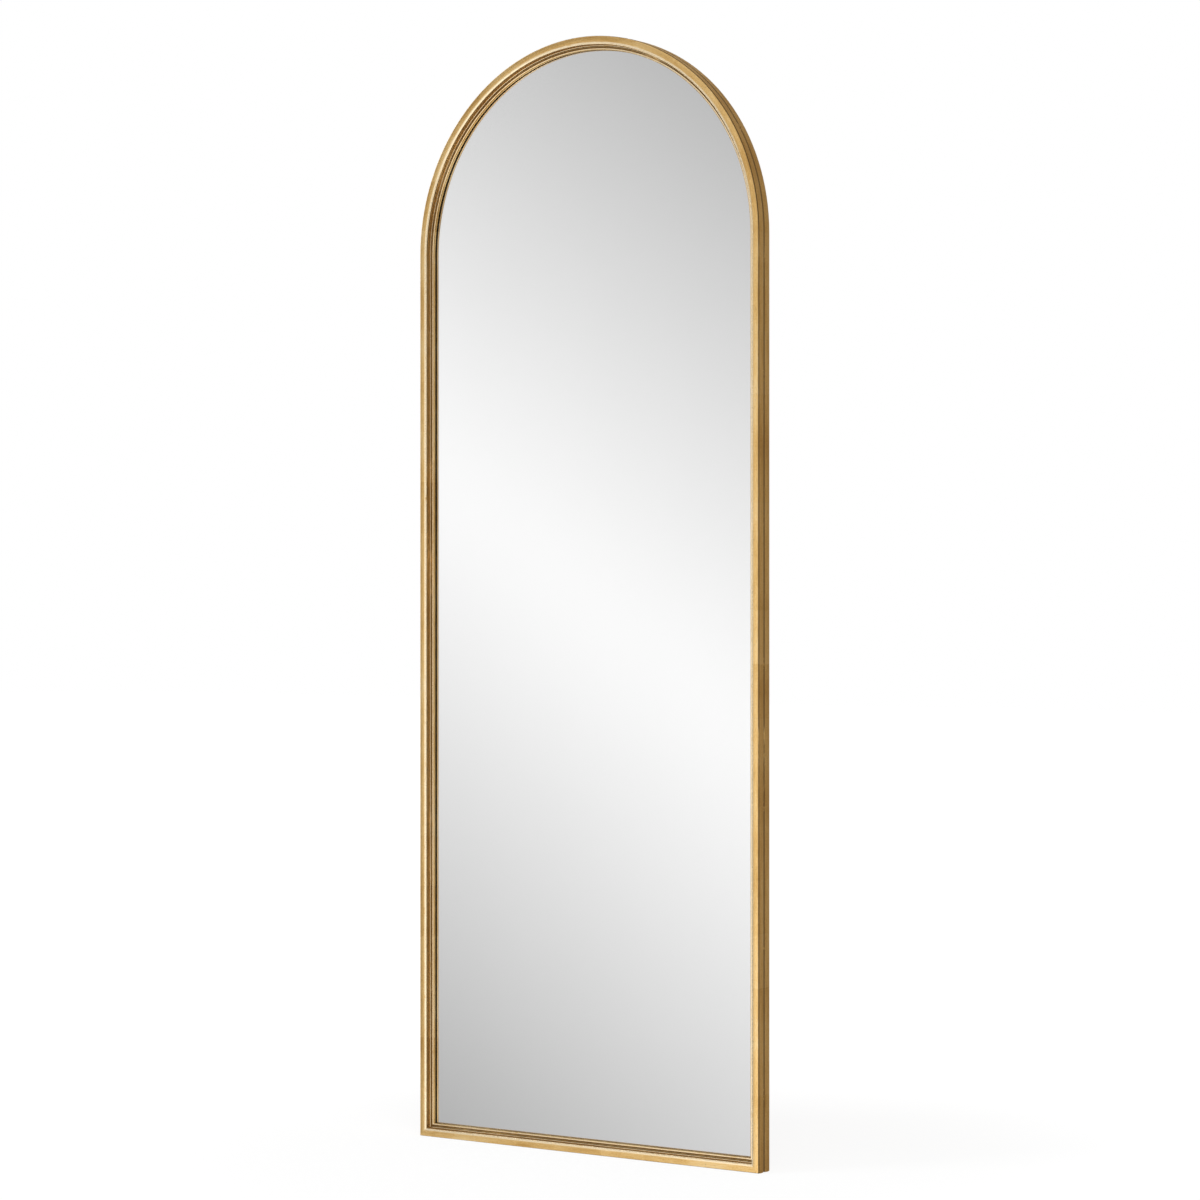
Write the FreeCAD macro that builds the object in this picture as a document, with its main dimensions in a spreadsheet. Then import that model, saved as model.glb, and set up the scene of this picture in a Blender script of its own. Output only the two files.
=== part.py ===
"""Leaning floor mirror with an arched top, in millimetres.

A steel frame of two thin tube rings, one behind the other, holds the glass against a beaded
sight bar. The glass, its mounting tape and the backing board go in from the back and are held
by screwed clips. Two ring hangers swing behind the board.

The mirror stands upright on its bottom rail. +Z is up, the front faces -Y and the origin is in
the middle of the floor area. Across any side of the frame, "in" runs from the outer edge
towards the glass, "back" runs from the front face to the wall and "along" runs with the tube.
"""

import FreeCAD, Part

import math
import os

import Sketcher

Vector = FreeCAD.Vector
SWAP = FreeCAD.Rotation(Vector(1, 1, 0), 180)
doc = FreeCAD.newDocument("FloorMirror")

# ---------------------------------------------------------------- driving sizes
SIZES = {
    # the whole mirror
    "overall_height": 1778,
    "overall_width": 660,
    # one frame tube; the front ring and the rear ring use the same one
    "tube_width": 13.5,
    "tube_depth": 16.8,
    "tube_wall": 1.2,
    "tube_corner": 1.3,
    # the beaded bar that the glass is seen through
    "sight_width": 8.0,
    "sight_thickness": 4.5,
    "bead_narrow": 2.0,
    "bead_wide": 3.8,
    "groove_depth": 0.9,
    # what lies in the rebate, from the sight bar backwards, and the open depth behind it
    "tape_thickness": 0.4,
    "tape_margin": 0.8,
    "glass_thickness": 4.0,
    "glass_gap": 1.5,
    "glass_arris": 0.5,
    "foam_thickness": 1.5,
    "foam_width": 19.0,
    "foam_pitch": 160.0,
    "foam_margin": 90.0,
    "board_thickness": 5.0,
    "back_recess": 8.2,
    # rubber under and beside the glass
    "block_length": 60.0,
    "block_place": 165.0,
    "packer_length": 40.0,
    "packer_low": 400.0,
    "packer_high": 1200.0,
    # clips over the back of the board, and their screws
    "clip_thickness": 1.2,
    "clip_width": 20.0,
    "clip_foot": 18.0,
    "clip_leg": 7.0,
    "clip_bend": 0.5,
    "clip_hole": 2.9,
    "clip_first": 150.0,
    "clip_pitch": 540.0,
    "clip_turn": 50.0,
    "clip_spread": 85.0,
    "screw_shank": 2.5,
    "screw_length": 7.5,
    "screw_head": 4.5,
    "screw_head_height": 1.6,
    "screw_height": 4.2,
    "screw_clearance": 0.05,
    # welds in the outer seam between the two rings
    "weld_length": 18.0,
    "weld_first": 120.0,
    "weld_pitch": 240.0,
    "weld_turn": 30.0,
    "weld_spread": 220.0,
    "weld_recess": 0.35,
    "weld_depth": 0.85,
    # ring hangers
    "hanger_drop": 118.0,
    "hanger_gap": 1.6,
    "plate_thickness": 1.5,
    "plate_width": 48.0,
    "plate_height": 64.0,
    "plate_drop": 14.0,
    "plate_flange": 4.5,
    "plate_bend": 0.8,
    "plate_corner": 6.0,
    "strap_thickness": 1.2,
    "strap_width": 14.0,
    "strap_length": 36.0,
    "strap_centre": 28.0,
    "strap_end": 5.0,
    "strap_joggle": 5.0,
    "ring_wire": 3.0,
    "ring_clearance": 0.05,
    "ring_lift": 2.1,
    "ring_width": 21.0,
    "ring_leg": 8.0,
    "ring_bend": 2.5,
    "rivet_shank": 3.2,
    "rivet_head": 6.0,
    "rivet_rise": 1.0,
    "rivet_near": 9.0,
    "rivet_far": 28.0,
    # soft bumpers on the back
    "bumper_width": 9.0,
    "bumper_height": 2.4,
    "bumper_turn": 40.0,
    "bumper_spread": 270.0,
}

sheet = doc.addObject("Spreadsheet::Sheet", "Sizes")
for row, (alias, size) in enumerate(SIZES.items(), start=1):
    sheet.set(f"A{row}", alias.replace("_", " "))
    sheet.set(f"B{row}", str(size))
    sheet.setAlias(f"B{row}", alias)
doc.recompute()


def size(expression):
    """The number that an expression on the sheet gives."""
    return float(sheet.evalExpression(expression))


def of(text):
    """Writes aliases and plain arithmetic, apart by spaces, as an expression on the sheet."""
    words = (f"Sizes.{word}" if word in SIZES else word for word in text.split())
    return f"({' '.join(words)})"


# Places that several pieces share, each from the sizes above
TUBE, REAR = of("tube_width"), of("tube_depth")
OUTER_RADIUS = of("overall_width / 2")
SPRING = of("overall_height - overall_width / 2")
FRONT = of("0 - tube_depth - bumper_height / 2")
GLASS_EDGE = of("tube_width + glass_gap")
BOARD_BACK = of("2 * tube_depth - back_recess")
BOARD_FRONT = f"({BOARD_BACK} - {of('board_thickness')})"
GLASS_BACK = f"({BOARD_FRONT} - {of('foam_thickness')})"
GLASS_FRONT = f"({GLASS_BACK} - {of('glass_thickness')})"
TAPE_FRONT = f"({GLASS_FRONT} - {of('tape_thickness')})"
SIGHT_FRONT = f"({TAPE_FRONT} - {of('sight_thickness')})"
PLATE_FRONT = f"({BOARD_BACK} + {of('hanger_gap')})"
RING_BACK = f"({PLATE_FRONT} + {of('plate_thickness + strap_thickness + ring_lift')})"
RING_SIDE = of("overall_width / 2 - tube_width - strap_centre")


# ---------------------------------------------------------------- drawing helpers
def new_body(label, base=(None, None, None)):
    """A body whose placement follows the sheet."""
    body = doc.addObject("PartDesign::Body", label)
    body.Label = label
    for letter, expression in zip("xyz", base):
        if expression is not None:
            body.setExpression(f"Placement.Base.{letter}", expression)
    return body


def origin_feature(body, role):
    """One of the body's own base planes or axes."""
    return next(item for item in body.Origin.OriginFeatures if item.Role == role)


def new_sketch(body, name, plane, offset=(None, None, None), swap=False):
    """A sketch on one of the body's base planes, moved by an offset that follows the sheet.

    With swap its x runs along the plane's y and its y along the plane's x.
    """
    sketch = body.newObject("Sketcher::SketchObject", f"{body.Name}_{name}")
    sketch.AttachmentSupport = [(origin_feature(body, plane), "")]
    sketch.MapMode = "FlatFace"
    if swap:
        sketch.AttachmentOffset = FreeCAD.Placement(Vector(), SWAP)
    for letter, expression in zip("xyz", offset):
        if expression is not None:
            sketch.setExpression(f"AttachmentOffset.Base.{letter}", expression)
    return sketch


def bind(sketch, kind, element, point, expression):
    """Ties one coordinate of a sketch point to the sheet, whichever side of zero it is on."""
    number = size(expression)
    axis = {"DistanceX": -2, "DistanceY": -1}[kind]
    if abs(number) < 1e-9:
        sketch.addConstraint(Sketcher.Constraint("PointOnObject", element, point, axis))
        return
    if number > 0:
        rule = Sketcher.Constraint(kind, -1, 1, element, point, number)
    else:
        rule = Sketcher.Constraint(kind, element, point, -1, 1, -number)
        expression = f"-({expression})"
    index = sketch.addConstraint(rule)
    sketch.setExpression(f"Constraints[{index}]", expression)


def outline(sketch, corners):
    """Draws one closed loop of lines and arcs, every point tied to the sheet.

    A corner is (x, y). Where an arc runs on to the next corner it is (x, y, centre x,
    centre y, turn), and turn is 1 for an anticlockwise arc and -1 for a clockwise one.
    """
    first = sketch.GeometryCount
    places = [(size(corner[0]), size(corner[1])) for corner in corners]
    ends = []
    for number, corner in enumerate(corners):
        start = Vector(*places[number], 0)
        stop = Vector(*places[(number + 1) % len(corners)], 0)
        if len(corner) == 2:
            sketch.addGeometry(Part.LineSegment(start, stop), False)
            ends.append((1, 2))
            continue
        centre = Vector(size(corner[2]), size(corner[3]), 0)
        circle = Part.Circle(centre, Vector(0, 0, 1), (start - centre).Length)
        low, high = (start, stop) if corner[4] > 0 else (stop, start)
        angles = [math.atan2(point.y - centre.y, point.x - centre.x) for point in (low, high)]
        if angles[1] <= angles[0]:
            angles[1] += 2 * math.pi
        sketch.addGeometry(Part.ArcOfCircle(circle, *angles), False)
        ends.append((1, 2) if corner[4] > 0 else (2, 1))
    for number, corner in enumerate(corners):
        following = (number + 1) % len(corners)
        sketch.addConstraint(
            Sketcher.Constraint(
                "Coincident", first + number, ends[number][1], first + following, ends[following][0]
            )
        )
        bind(sketch, "DistanceX", first + number, ends[number][0], corner[0])
        bind(sketch, "DistanceY", first + number, ends[number][0], corner[1])
        if len(corner) > 2:
            bind(sketch, "DistanceY", first + number, 3, corner[3])


def tube_section(sketch):
    """The frame tube: an outside with its four corners eased flat, and a square bore."""
    width, depth, ease, wall = (
        of(name) for name in ("tube_width", "tube_depth", "tube_corner", "tube_wall")
    )
    far_x, far_y = f"({width} - {ease})", f"({depth} - {ease})"
    outline(
        sketch,
        [
            (ease, "0"),
            (far_x, "0"),
            (width, ease),
            (width, far_y),
            (far_x, depth),
            (ease, depth),
            ("0", far_y),
            ("0", ease),
        ],
    )
    right, back = f"({width} - {wall})", f"({depth} - {wall})"
    outline(sketch, [(wall, wall), (right, wall), (right, back), (wall, back)])


def sight_section(sketch):
    """The sight bar: a narrow bead, a groove and a wide bead, in that order from the tube.

    Each bead is three flats, and its top is half as wide as its foot.
    """
    narrow, wide = of("bead_narrow"), of("bead_wide")
    floor, across, back = of("groove_depth"), of("sight_width"), of("sight_thickness")
    start = f"({across} - {wide})"
    outline(
        sketch,
        [
            ("0", back),
            ("0", floor),
            (f"{narrow} / 4", "0"),
            (f"0.75 * {narrow}", "0"),
            (narrow, floor),
            (start, floor),
            (f"{start} + {wide} / 4", "0"),
            (f"{across} - {wide} / 4", "0"),
            (across, floor),
            (across, back),
        ],
    )


def arch_outline(sketch, inset):
    """The mirror's own outline, moved in from the frame's outer edge by an inset."""
    half = f"({OUTER_RADIUS} - ({inset}))"
    outline(
        sketch,
        [
            (f"-{half}", inset),
            (half, inset),
            (half, SPRING, "0", SPRING, 1),
            (f"-{half}", SPRING),
        ],
    )


def pad(body, sketch, length, reverse=False, both_ways=False):
    """Pads a sketch by a length on the sheet."""
    feature = body.newObject("PartDesign::Pad", f"{sketch.Name}_pad")
    feature.Profile = sketch
    feature.setExpression("Length", length)
    feature.Reversed = reverse
    feature.Midplane = both_ways
    body.Tip = feature
    return feature


def mitre(body, corners, offset=(None, None, None)):
    """Cuts the end of a tube to 45 degrees, seen from the front."""
    sketch = new_sketch(body, "mitre", "XZ_Plane", offset)
    outline(sketch, corners)
    cut = body.newObject("PartDesign::Pocket", f"{sketch.Name}_cut")
    cut.Profile = sketch
    cut.Type = "ThroughAll"
    cut.Midplane = True
    body.Tip = cut
    return cut


def mirrored(source, label):
    """The right-hand twin of a left-hand piece."""
    twin = doc.addObject("Part::Mirroring", label)
    twin.Label = label
    twin.Source = source
    twin.Normal = (1, 0, 0)
    return twin


pieces = []


def piece(*made):
    """Lists objects that are real pieces, each written to a file of its own."""
    pieces.extend(made)
    return made[0]


# ---------------------------------------------------------------- bars of the frame
def stile(label, section, inset, setback, width):
    """An upright bar with a mitred foot, from the bottom corner to the arch's spring line."""
    body = new_body(label, (f"-{OUTER_RADIUS} + {inset}", f"{FRONT} + {setback}", inset))
    sketch = new_sketch(body, "section", "XY_Plane")
    section(sketch)
    pad(body, sketch, f"{SPRING} - {inset}")
    mitre(body, [("0", "0"), (width, "0"), (width, width)])
    return body


def arch(label, section, inset, setback):
    """A half ring over the top, bent about the middle of the spring line."""
    body = new_body(label, (None, f"{FRONT} + {setback}", SPRING))
    sketch = new_sketch(body, "section", "XY_Plane", (f"-({OUTER_RADIUS} - {inset})", None, None))
    section(sketch)
    bend = body.newObject("PartDesign::Revolution", f"{label}_bend")
    bend.Profile = sketch
    bend.ReferenceAxis = (origin_feature(body, "Y_Axis"), [""])
    bend.Angle = 180
    body.Tip = bend
    return body


def rail(label, section, inset, setback, width):
    """The bottom bar, mitred at both ends."""
    body = new_body(label, (None, f"{FRONT} + {setback}", inset))
    sketch = new_sketch(body, "section", "YZ_Plane", swap=True)
    section(sketch)
    half = f"({OUTER_RADIUS} - {inset})"
    pad(body, sketch, f"2 * {half}", both_ways=True)
    cut = mitre(body, [("0", "0"), (width, width), ("0", width)], (f"-{half}", None, None))
    other_end = body.newObject("PartDesign::Mirrored", f"{label}_other_end")
    other_end.Originals = [cut]
    other_end.MirrorPlane = (origin_feature(body, "YZ_Plane"), [""])
    body.Tip = other_end
    return body


# The front ring: steel tube, its joints mitred, welded and dressed flush
front_left_stile = piece(stile("front_left_stile", tube_section, "0", "0", TUBE))
piece(mirrored(front_left_stile, "front_right_stile"))
piece(arch("front_arch", tube_section, "0", "0"))
piece(rail("front_bottom_rail", tube_section, "0", "0", TUBE))

# The rear ring: the same tube, drilled on the inside for the clip screws further down
rear_blanks = {
    "rear_left_stile": stile("rear_left_stile_blank", tube_section, "0", REAR, TUBE),
    "rear_arch": arch("rear_arch_blank", tube_section, "0", REAR),
    "rear_bottom_rail": rail("rear_bottom_rail_blank", tube_section, "0", REAR, TUBE),
}

# The sight bar: a beaded strip welded inside the front ring, which the glass rests against
SIGHT = of("sight_width")
left_sight_bar = piece(stile("left_sight_bar", sight_section, TUBE, SIGHT_FRONT, SIGHT))
piece(mirrored(left_sight_bar, "right_sight_bar"))
piece(arch("arch_sight_bar", sight_section, TUBE, SIGHT_FRONT))
piece(rail("bottom_sight_bar", sight_section, TUBE, SIGHT_FRONT, SIGHT))


# ---------------------------------------------------------------- glass, tape and board
def sheet_of(label, insets, depth, thickness):
    """A flat sheet with the mirror's outline, or a ring between two outlines."""
    body = new_body(label, (None, f"{FRONT} + {depth}", None))
    sketch = new_sketch(body, "outline", "XZ_Plane")
    for inset in insets:
        arch_outline(sketch, inset)
    pad(body, sketch, thickness, reverse=True)
    return body


TAPE_OUTER = of("tube_width + glass_gap + tape_margin")
TAPE_INNER = of("tube_width + sight_width - tape_margin")
piece(sheet_of("rebate_tape", [TAPE_OUTER, TAPE_INNER], TAPE_FRONT, of("tape_thickness")))

mirror_glass = piece(sheet_of("mirror_glass", [GLASS_EDGE], GLASS_FRONT, of("glass_thickness")))
doc.recompute()
blank = mirror_glass.Tip
broad = [
    f"Face{number}"
    for number, face in enumerate(blank.Shape.Faces, start=1)
    if abs(face.normalAt(0, 0).y) > 0.99
]
arris = mirror_glass.newObject("PartDesign::Chamfer", "mirror_glass_arris")
arris.Base = (blank, broad)
arris.setExpression("Size", of("glass_arris"))
mirror_glass.Tip = arris
piece(sheet_of("backing_board", [GLASS_EDGE], BOARD_FRONT, of("board_thickness")))


# ---------------------------------------------------------------- places along the frame
RADIUS, SPRING_HEIGHT, FACE = size(OUTER_RADIUS), size(SPRING), size(FRONT)


def station(x, z, turn):
    """A place on the outer edge, level with the front face: x runs in, y back and z along."""
    return FreeCAD.Placement(Vector(x, FACE, z), FreeCAD.Rotation(Vector(0, 1, 0), turn))


def on_stiles(*heights):
    """Stations on both stiles at each height."""
    return [
        place
        for height in heights
        for place in (station(-RADIUS, height, 0), station(RADIUS, height, 180))
    ]


def on_arch(*angles, inward=0):
    """Stations round the arch, each at an angle in degrees from the crown, moved inward."""
    made, radius = [], RADIUS - inward
    for angle in angles:
        across, up = math.sin(math.radians(angle)), math.cos(math.radians(angle))
        made.append(station(radius * across, SPRING_HEIGHT + radius * up, 90 + angle))
    return made


def on_rail(*places):
    """Stations along the bottom rail, each at a distance from the middle."""
    return [station(place, 0, -90) for place in places]


def evenly(first, last, pitch):
    """Equal steps from first to last, each as near to the pitch as they can be."""
    steps = max(1, round((last - first) / pitch))
    return [first + (last - first) * step / steps for step in range(steps + 1)]


def group(label, shapes):
    """Identical small parts that share one node."""
    made = doc.addObject("Part::Feature", label)
    made.Label = label
    made.Shape = Part.Compound(shapes)
    return piece(made)


def copies(master, stations):
    """The master piece set at each station."""
    made = []
    for place in stations:
        shape = master.Shape.copy()
        shape.Placement = place.multiply(shape.Placement)
        made.append(shape)
    return made


def edges_along(feature, direction, test):
    """Names of a feature's straight edges that run along a direction and pass a test."""
    names = []
    for number, edge in enumerate(feature.Shape.Edges, start=1):
        if not isinstance(edge.Curve, Part.Line):
            continue
        if abs(edge.Curve.Direction.dot(direction)) > 0.99 and test(edge.CenterOfMass):
            names.append(f"Edge{number}")
    return names


def ease_off(body, direction, test, reach):
    """Cuts the chosen corners of a body's last feature off flat."""
    doc.recompute()
    last = body.Tip
    corners = body.newObject("PartDesign::Chamfer", f"{body.Name}_corners")
    corners.Base = (last, edges_along(last, direction, test))
    corners.setExpression("Size", reach)
    body.Tip = corners


def eight_sided(reach, x="0", y="0"):
    """The eight corners of a small round bar or hole, drawn with flats, about a centre."""
    return [
        (f"{x} + {reach} * cos({angle} deg)", f"{y} + {reach} * sin({angle} deg)")
        for angle in range(0, 360, 45)
    ]


def drill(body, name, plane, holes):
    """Bores small holes, each (x, y, half width), right through a body."""
    sketch = new_sketch(body, name, plane)
    for x, y, reach in holes:
        outline(sketch, eight_sided(reach, x, y))
    cut = body.newObject("PartDesign::Pocket", f"{sketch.Name}_cut")
    cut.Profile = sketch
    cut.Type = "ThroughAll"
    cut.Midplane = True
    body.Tip = cut


def stepped_bar(label, plane, centre, steps):
    """A small round part about one line, a list of lengths, each (half width, start, end)."""
    body = new_body(label)
    backwards = plane == "XZ_Plane"  # this plane faces the front of the mirror
    for number, (reach, start, end) in enumerate(steps):
        depth = f"-({start})" if backwards else start
        sketch = new_sketch(body, f"step_{number}", plane, (*centre, depth))
        outline(sketch, eight_sided(reach))
        pad(body, sketch, f"{end} - ({start})", reverse=backwards)
    return body


# ---------------------------------------------------------------- clips and their screws
def bent_angle(body, name, thickness, bend, foot, leg, offset):
    """Draws an angle of sheet metal: foot along x, leg along y, its bend eased flat."""
    outer = f"({bend} + {thickness})"
    sketch = new_sketch(body, name, "XY_Plane", offset)
    outline(
        sketch,
        [
            (bend, "0"),
            (foot, "0"),
            (foot, thickness),
            (outer, thickness),
            (thickness, outer),
            (thickness, leg),
            ("0", leg),
            ("0", bend),
        ],
    )
    return sketch


SCREW_BACK = f"({BOARD_BACK} + {of('screw_height')})"
CLIP_TOP = of("tube_width + clip_thickness")
clip_master = new_body("clip_master")
clip_sketch = bent_angle(
    clip_master,
    "section",
    of("clip_thickness"),
    of("clip_bend"),
    of("clip_foot"),
    of("clip_leg"),
    (TUBE, BOARD_BACK, None),
)
pad(clip_master, clip_sketch, of("clip_width"), both_ways=True)
drill(clip_master, "screw_hole", "YZ_Plane", [(SCREW_BACK, "0", of("clip_hole / 2"))])

screw_master = stepped_bar(
    "screw_master",
    "YZ_Plane",
    (SCREW_BACK, None),
    [
        (of("screw_shank / 2"), of("tube_width + clip_thickness - screw_length"), CLIP_TOP),
        (of("screw_head / 2"), CLIP_TOP, of("tube_width + clip_thickness + screw_head_height")),
    ],
)
doc.recompute()

HANGER_HEIGHT = f"({SPRING} - {of('hanger_drop')})"
PLATE_FOOT = f"({HANGER_HEIGHT} - {of('plate_drop + plate_height / 2')})"
first_clip, last_clip = size(of("clip_first")), size(f"{PLATE_FOOT} - {of('clip_width')}")
clip_angles = [size(of("clip_turn")) * step for step in (-1, 0, 1)]
clip_spread = size(of("clip_spread"))
# A flat clip on the bent tube touches it at its two edges
bore_radius, half_clip = RADIUS - size(TUBE), size(of("clip_width / 2"))
clip_seat = bore_radius - math.sqrt(bore_radius**2 - half_clip**2)
clip_stations = (
    on_stiles(*evenly(first_clip, last_clip, size(of("clip_pitch"))))
    + on_arch(*clip_angles, inward=clip_seat)
    + on_rail(-clip_spread, clip_spread)
)
group("board_clips", copies(clip_master, clip_stations))
group("clip_screws", copies(screw_master, clip_stations))

# Each screw bites in the tube's inner wall only, so the drill stops in the bore
drill_reach = size(of("screw_shank / 2 + screw_clearance"))
drill_depth = 2 * size(of("tube_wall"))
drill_corners = [
    Vector(
        size(TUBE) - drill_depth,
        size(SCREW_BACK) + drill_reach * math.cos(math.radians(angle)),
        drill_reach * math.sin(math.radians(angle)),
    )
    for angle in range(0, 360, 45)
]
drill_bit = Part.Face(Part.makePolygon(drill_corners, True)).extrude(Vector(2 * drill_depth, 0, 0))
pilot_holes = doc.addObject("Part::Feature", "pilot_holes")
pilot_holes.Shape = Part.Compound(
    [drill_bit.transformed(place.toMatrix()) for place in clip_stations]
)
for label, blank_tube in rear_blanks.items():
    drilled = piece(doc.addObject("Part::Cut", label))
    drilled.Label = label
    drilled.Base, drilled.Tool = blank_tube, pilot_holes
    if "left" in label:
        piece(mirrored(drilled, label.replace("left", "right")))

# ---------------------------------------------------------------- stitch welds in the seam
ease, seam = size(of("tube_corner")), size(REAR)


def weld_section():
    """The seam's filling: two eased tube corners for its sides and a top just below the face."""
    top = size(of("weld_recess"))
    bottom = top + size(of("weld_depth"))
    corners = [
        Vector(depth, seam + side * (ease - depth), 0)
        for depth, side in ((top, -1), (bottom, -1), (bottom, 1), (top, 1))
    ]
    return Part.Face(Part.makePolygon(corners, True))


weld_length = size(of("weld_length"))
start_turn = math.degrees(weld_length / RADIUS)
straight_weld = weld_section().translated(Vector(0, 0, -weld_length / 2))
straight_weld = straight_weld.extrude(Vector(0, 0, weld_length))
arch_centre, arch_axis = Vector(RADIUS, 0, 0), Vector(0, 1, 0)
curved_weld = weld_section()
curved_weld.rotate(arch_centre, arch_axis, -start_turn / 2)
curved_weld = curved_weld.revolve(arch_centre, arch_axis, start_turn)
first_weld, weld_turn = size(of("weld_first")), size(of("weld_turn"))
stile_welds = on_stiles(*evenly(first_weld, SPRING_HEIGHT, size(of("weld_pitch")))[:-1])
rail_welds = on_rail(-size(of("weld_spread")), 0, size(of("weld_spread")))
arch_welds = on_arch(*(weld_turn * step for step in (-2, -1, 0, 1, 2)))
group(
    "stitch_welds",
    [straight_weld.transformed(place.toMatrix()) for place in stile_welds + rail_welds]
    + [curved_weld.transformed(place.toMatrix()) for place in arch_welds],
)


# ---------------------------------------------------------------- rubber blocks and tape
def rubber(length_name):
    """A rubber pad that fills the gap between the tube and the edges of glass and board."""
    front = size(TAPE_FRONT)
    return Part.makeBox(
        size(of("glass_gap")),
        size(BOARD_BACK) - front,
        size(of(length_name)),
        Vector(size(TUBE), front, -size(of(length_name)) / 2),
    )


def set_at(shape, stations):
    """A plain shape repeated at each station."""
    return [shape.transformed(place.toMatrix()) for place in stations]


block_place = size(of("block_place"))
group("setting_blocks", set_at(rubber("block_length"), on_rail(-block_place, block_place)))
packer_heights = size(of("packer_low")), size(of("packer_high"))
group("side_packers", set_at(rubber("packer_length"), on_stiles(*packer_heights)))

foam_width, foam_pitch = size(of("foam_width")), size(of("foam_pitch"))
foam_foot, glass_radius = size(of("foam_margin")), RADIUS - size(GLASS_EDGE)
foam_strips = []
for middle in (-1.5 * foam_pitch, -0.5 * foam_pitch, 0.5 * foam_pitch, 1.5 * foam_pitch):
    reach = abs(middle) + foam_width / 2
    foam_top = SPRING_HEIGHT + math.sqrt(glass_radius**2 - reach**2) - foam_foot
    foam_strips.append(
        Part.makeBox(
            foam_width,
            size(of("foam_thickness")),
            foam_top - foam_foot,
            Vector(middle - foam_width / 2, FACE + size(GLASS_BACK), foam_foot),
        )
    )
group("mounting_tape", foam_strips)

# ---------------------------------------------------------------- ring hangers
STRAP_HOLES = [("0", f"-{of(name)}", of("rivet_shank / 2")) for name in ("rivet_near", "rivet_far")]

left_plate = new_body(
    "left_hanger_plate", (f"-{OUTER_RADIUS} + {TUBE}", f"{FRONT} + {PLATE_FRONT}", HANGER_HEIGHT)
)
plate_sketch = bent_angle(
    left_plate,
    "section",
    of("plate_thickness"),
    of("plate_bend"),
    of("plate_width"),
    of("plate_flange"),
    (None, None, of("0 - plate_drop")),
)
pad(left_plate, plate_sketch, of("plate_height"), both_ways=True)
plate_end = size(of("plate_width"))
ease_off(
    left_plate, Vector(0, 1, 0), lambda middle: abs(middle.x - plate_end) < 0.01, of("plate_corner")
)
plate_holes = [(of("strap_centre"), down, across) for _, down, across in STRAP_HOLES]
drill(left_plate, "rivet_holes", "XZ_Plane", plate_holes)

ring_place = (f"-{RING_SIDE}", f"{FRONT} + {RING_BACK}", HANGER_HEIGHT)
left_strap = new_body("left_ring_strap", ring_place)
lift, strap_length = of("ring_lift"), of("strap_length")
under, joggle = of("ring_lift + strap_thickness"), of("strap_joggle")
curl_bore = of("ring_wire / 2 + ring_clearance")
curl = f"({curl_bore} + {of('strap_thickness')})"
strap_sketch = new_sketch(left_strap, "section", "YZ_Plane")
outline(
    strap_sketch,
    [
        (f"-{lift}", f"-{strap_length}"),
        (f"-{lift}", f"-{joggle}"),
        (f"-{curl_bore}", "0", "0", "0", -1),
        (f"-{curl_bore} * cos(60 deg)", f"-{curl_bore} * sin(60 deg)"),
        (f"-{curl} * cos(60 deg)", f"-{curl} * sin(60 deg)", "0", "0", 1),
        (f"-{curl}", "0"),
        (f"-{under}", f"-{joggle}"),
        (f"-{under}", f"-{strap_length}"),
    ],
)
pad(left_strap, strap_sketch, of("strap_width"), both_ways=True)
strap_end = -size(strap_length)
ease_off(
    left_strap, Vector(0, 1, 0), lambda middle: abs(middle.z - strap_end) < 0.01, of("strap_end")
)
drill(left_strap, "rivet_holes", "XZ_Plane", STRAP_HOLES)

left_ring = new_body("left_d_ring", ring_place)
bend, leg, half_ring = of("ring_bend"), of("ring_bend + ring_leg"), of("ring_width / 2")
straight = f"({half_ring} - {bend})"
wire_path = new_sketch(left_ring, "path", "XZ_Plane")
outline(
    wire_path,
    [
        (f"-{straight}", "0"),
        (straight, "0"),
        (half_ring, f"-{bend}"),
        (half_ring, f"-{leg}", "0", f"-{leg}", -1),
        (f"-{half_ring}", f"-{leg}"),
        (f"-{half_ring}", f"-{bend}"),
    ],
)
wire_section = new_sketch(left_ring, "wire", "YZ_Plane")
outline(wire_section, eight_sided(of("ring_wire / 2")))
wire = left_ring.newObject("PartDesign::AdditivePipe", "left_d_ring_wire")
wire.Profile = wire_section
wire.Spine = (wire_path, [""])
wire.Transition = "Right corner"
left_ring.Tip = wire

rivet, cap, rise = of("rivet_shank / 2"), of("rivet_head / 2"), of("rivet_rise")
grip = of("plate_thickness + strap_thickness")
rivet_master = stepped_bar(
    "rivet_master",
    "XZ_Plane",
    (None, None),
    [(cap, f"-{rise}", "0"), (rivet, "0", grip), (cap, grip, f"{grip} + {rise}")],
)
doc.recompute()
rivets = []
for side in (-1, 1):
    for name in ("rivet_near", "rivet_far"):
        rivet_shape = rivet_master.Shape.copy()
        rivet_shape.Placement = FreeCAD.Placement(
            Vector(
                side * size(RING_SIDE),
                FACE + size(PLATE_FRONT),
                size(HANGER_HEIGHT) - size(of(name)),
            ),
            FreeCAD.Rotation(),
        )
        rivets.append(rivet_shape)

for left_piece in (left_plate, left_strap, left_ring):
    piece(left_piece)
    piece(mirrored(left_piece, left_piece.Label.replace("left", "right")))
group("hanger_rivets", rivets)

# ---------------------------------------------------------------- wall bumpers
bumper_master = stepped_bar(
    "bumper_master",
    "XZ_Plane",
    (of("tube_width / 2"), None),
    [(of("bumper_width / 2"), of("2 * tube_depth"), of("2 * tube_depth + bumper_height"))],
)
doc.recompute()
bumper_turn, bumper_spread = size(of("bumper_turn")), size(of("bumper_spread"))
bumper_stations = on_arch(-bumper_turn, bumper_turn) + on_rail(-bumper_spread, bumper_spread)
group("wall_bumpers", copies(bumper_master, bumper_stations))

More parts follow.
